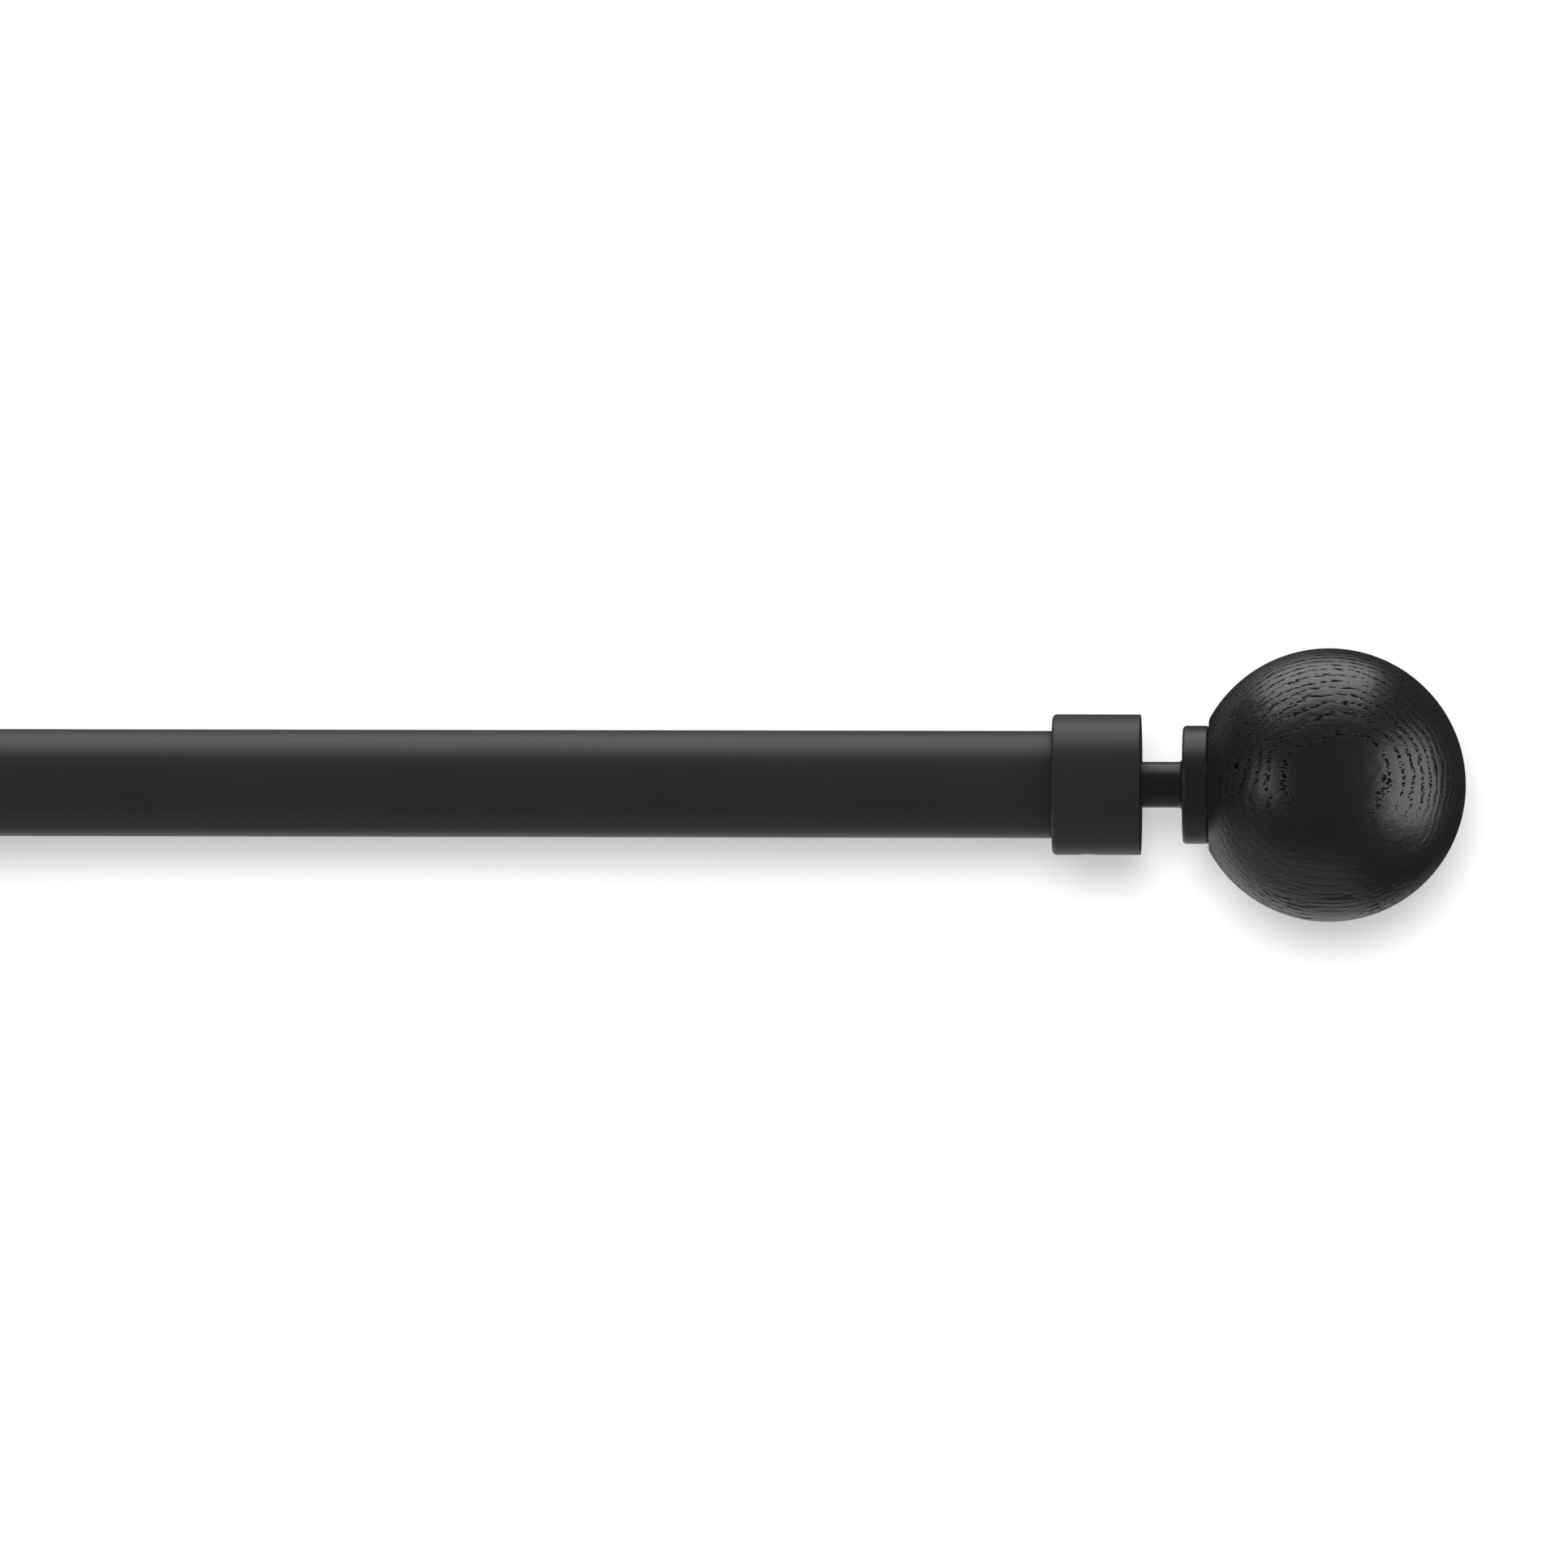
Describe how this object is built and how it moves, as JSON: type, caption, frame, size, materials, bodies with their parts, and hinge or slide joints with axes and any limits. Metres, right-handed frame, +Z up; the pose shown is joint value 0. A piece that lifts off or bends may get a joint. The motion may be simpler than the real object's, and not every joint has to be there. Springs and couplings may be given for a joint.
{
  "type": "curtain rod",
  "caption": "Telescoping metal curtain rod with end caps and dark wood ball finials, held in open-topped wall brackets with clamp screws.",
  "frame": {"origin": "centre of the right bracket's wall face", "axes": "+X along the rod towards its right finial, +Y into the wall, +Z up"},
  "size_m": [1.2022, 0.1494, 0.0648],
  "materials": {
    "black_coat": "satin black coat",
    "stained_wood": "satin black stain, open grain",
    "screw_steel": "zinc plated",
    "guide_plastic": "matte",
    "liner_rubber": "matte"
  },
  "bodies": {
    "right_bracket": {"right_wall_plate": "black_coat", "right_wall_screw_upper": "screw_steel", "right_wall_screw_lower": "screw_steel", "right_bracket_arm": "black_coat", "right_cup": "black_coat", "right_cup_screw": "screw_steel", "right_cup_liner": "liner_rubber"},
    "left_bracket": {"left_wall_plate": "black_coat", "left_wall_screw_upper": "screw_steel", "left_wall_screw_lower": "screw_steel", "left_bracket_arm": "black_coat", "left_cup": "black_coat", "left_cup_screw": "screw_steel", "left_cup_liner": "liner_rubber"},
    "outer_rod": {"outer_tube": "black_coat"},
    "inner_rod": {"inner_tube": "black_coat", "inner_tube_guide_plug": "guide_plastic"},
    "right_end_cap": {"right_cap": "black_coat", "right_cap_grub_screw": "screw_steel"},
    "left_end_cap": {"left_cap": "black_coat", "left_cap_grub_screw": "screw_steel", "left_reducing_sleeve": "guide_plastic"},
    "right_bolt": {"right_finial_bolt": "screw_steel"},
    "left_bolt": {"left_finial_bolt": "screw_steel"},
    "right_finial": {"right_finial_neck": "black_coat", "right_finial_ball": "stained_wood"},
    "left_finial": {"left_finial_neck": "black_coat", "left_finial_ball": "stained_wood"},
    "right_clamp_thread": {"right_clamp_stud": "screw_steel"},
    "left_clamp_thread": {"left_clamp_stud": "screw_steel"},
    "right_clamp_grip": {"right_clamp_knob": "black_coat"},
    "left_clamp_grip": {"left_clamp_knob": "black_coat"}
  },
  "joints": [
    {"name": "rod_slide", "type": "slide", "parent": "right_bracket", "child": "outer_rod", "axis": [1, 0, 0], "range_m": [-0.2, 0.08]},
    {"name": "left_bracket_slide", "type": "slide", "parent": "right_bracket", "child": "left_bracket", "axis": [1, 0, 0], "range_m": [-0.09, 0.3]},
    {"name": "telescope_slide", "type": "slide", "parent": "outer_rod", "child": "inner_rod", "axis": [-1, 0, 0], "range_m": [-0.109, 0.632]},
    {"name": "right_cap_pull", "type": "slide", "parent": "outer_rod", "child": "right_end_cap", "axis": [1, 0, 0], "range_m": [0, 0.02]},
    {"name": "left_cap_pull", "type": "slide", "parent": "inner_rod", "child": "left_end_cap", "axis": [-1, 0, 0], "range_m": [0, 0.02]},
    {"name": "right_finial_advance", "type": "slide", "parent": "right_end_cap", "child": "right_bolt", "axis": [1, 0, 0], "range_m": [0, 0.008]},
    {"name": "right_finial_turn", "type": "hinge", "parent": "right_bolt", "child": "right_finial", "pos_m": [0.3209, -0.0889, 0], "axis": [1, 0, 0], "range_deg": [0, 2880]},
    {"name": "left_finial_advance", "type": "slide", "parent": "left_end_cap", "child": "left_bolt", "axis": [-1, 0, 0], "range_m": [0, 0.008]},
    {"name": "left_finial_turn", "type": "hinge", "parent": "left_bolt", "child": "left_finial", "pos_m": [-0.7273, -0.0889, 0], "axis": [-1, 0, 0], "range_deg": [0, 2880]},
    {"name": "right_clamp_advance", "type": "slide", "parent": "right_bracket", "child": "right_clamp_thread", "axis": [0, -1, 0], "range_m": [0, 0.0042]},
    {"name": "right_clamp_turn", "type": "hinge", "parent": "right_clamp_thread", "child": "right_clamp_grip", "pos_m": [0, -0.0889, 0], "axis": [0, -1, 0], "range_deg": [0, 2160]},
    {"name": "left_clamp_advance", "type": "slide", "parent": "left_bracket", "child": "left_clamp_thread", "axis": [0, -1, 0], "range_m": [0, 0.0042]},
    {"name": "left_clamp_turn", "type": "hinge", "parent": "left_clamp_thread", "child": "left_clamp_grip", "pos_m": [-0.4064, -0.0889, 0], "axis": [0, -1, 0], "range_deg": [0, 2160]}
  ],
  "couplings": [
    {"joint": "right_finial_advance", "follows": "right_finial_turn", "m_per_rad": 0.00015915},
    {"joint": "left_finial_advance", "follows": "left_finial_turn", "m_per_rad": 0.00015915},
    {"joint": "right_clamp_advance", "follows": "right_clamp_turn", "m_per_rad": 0.00011141},
    {"joint": "left_clamp_advance", "follows": "left_clamp_turn", "m_per_rad": 0.00011141}
  ]
}
